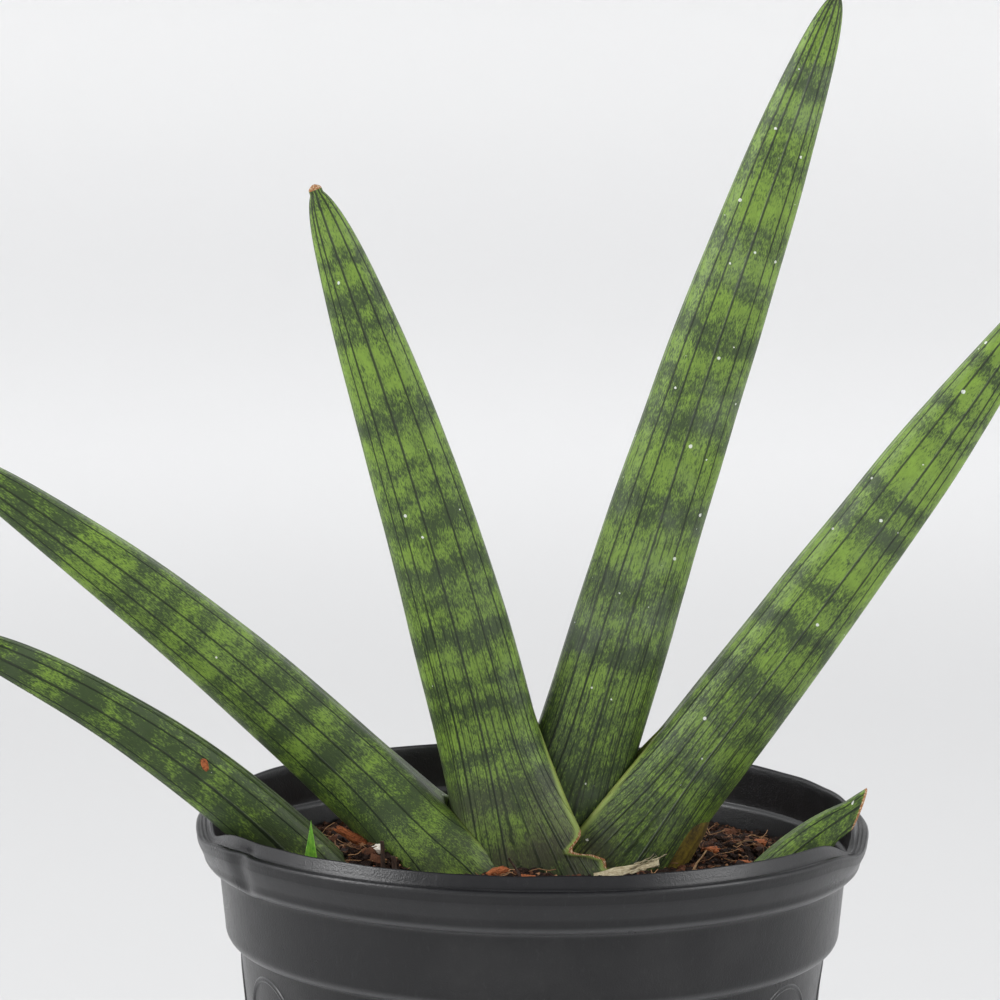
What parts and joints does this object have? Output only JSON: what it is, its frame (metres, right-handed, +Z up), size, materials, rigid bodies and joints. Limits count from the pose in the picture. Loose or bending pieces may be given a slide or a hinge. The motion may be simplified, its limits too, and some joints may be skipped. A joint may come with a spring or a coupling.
{
  "type": "potted plant",
  "caption": "Potted snake plant: a fan of thick, round, dark-banded leaves rising from soil in a thin round nursery pot with a collared rim.",
  "frame": {"origin": "centre of the pot's flat underside", "axes": "+Z up along the pot's axis, +X along the leaf fan towards the side of the short cut leaf, -Y towards the front"},
  "size_m": [0.2679, 0.165, 0.3627],
  "materials": {
    "pot": "satin",
    "soil": "matte",
    "leaf": "satin",
    "old_leaf": "matte",
    "sheath": "matte",
    "sprout": "satin",
    "stick": "matte",
    "fibre": "matte",
    "bark": "matte",
    "perlite": "matte"
  },
  "bodies": {
    "root": {"pot": "pot", "soil": "soil", "leaf_tall": "leaf", "leaf_right": "leaf", "leaf_centre": "leaf", "leaf_left": "leaf", "leaf_low": "leaf", "leaf_stub": "leaf", "old_leaf_base": "old_leaf", "dry_sheath": "sheath", "grass_sprout": "sprout", "stick_1": "stick", "stick_2": "stick", "twig_1": "stick", "fibre_1": "fibre", "fibre_2": "fibre", "bark_chip_1": "bark", "bark_chip_2": "bark", "bark_chip_3": "bark", "bark_chip_4": "bark", "bark_chip_5": "bark", "bark_chip_6": "bark", "bark_chip_7": "bark", "bark_chip_8": "bark", "bark_bit": "bark", "perlite_1": "perlite", "perlite_2": "perlite", "perlite_3": "perlite", "perlite_4": "perlite"}
  },
  "joints": []
}
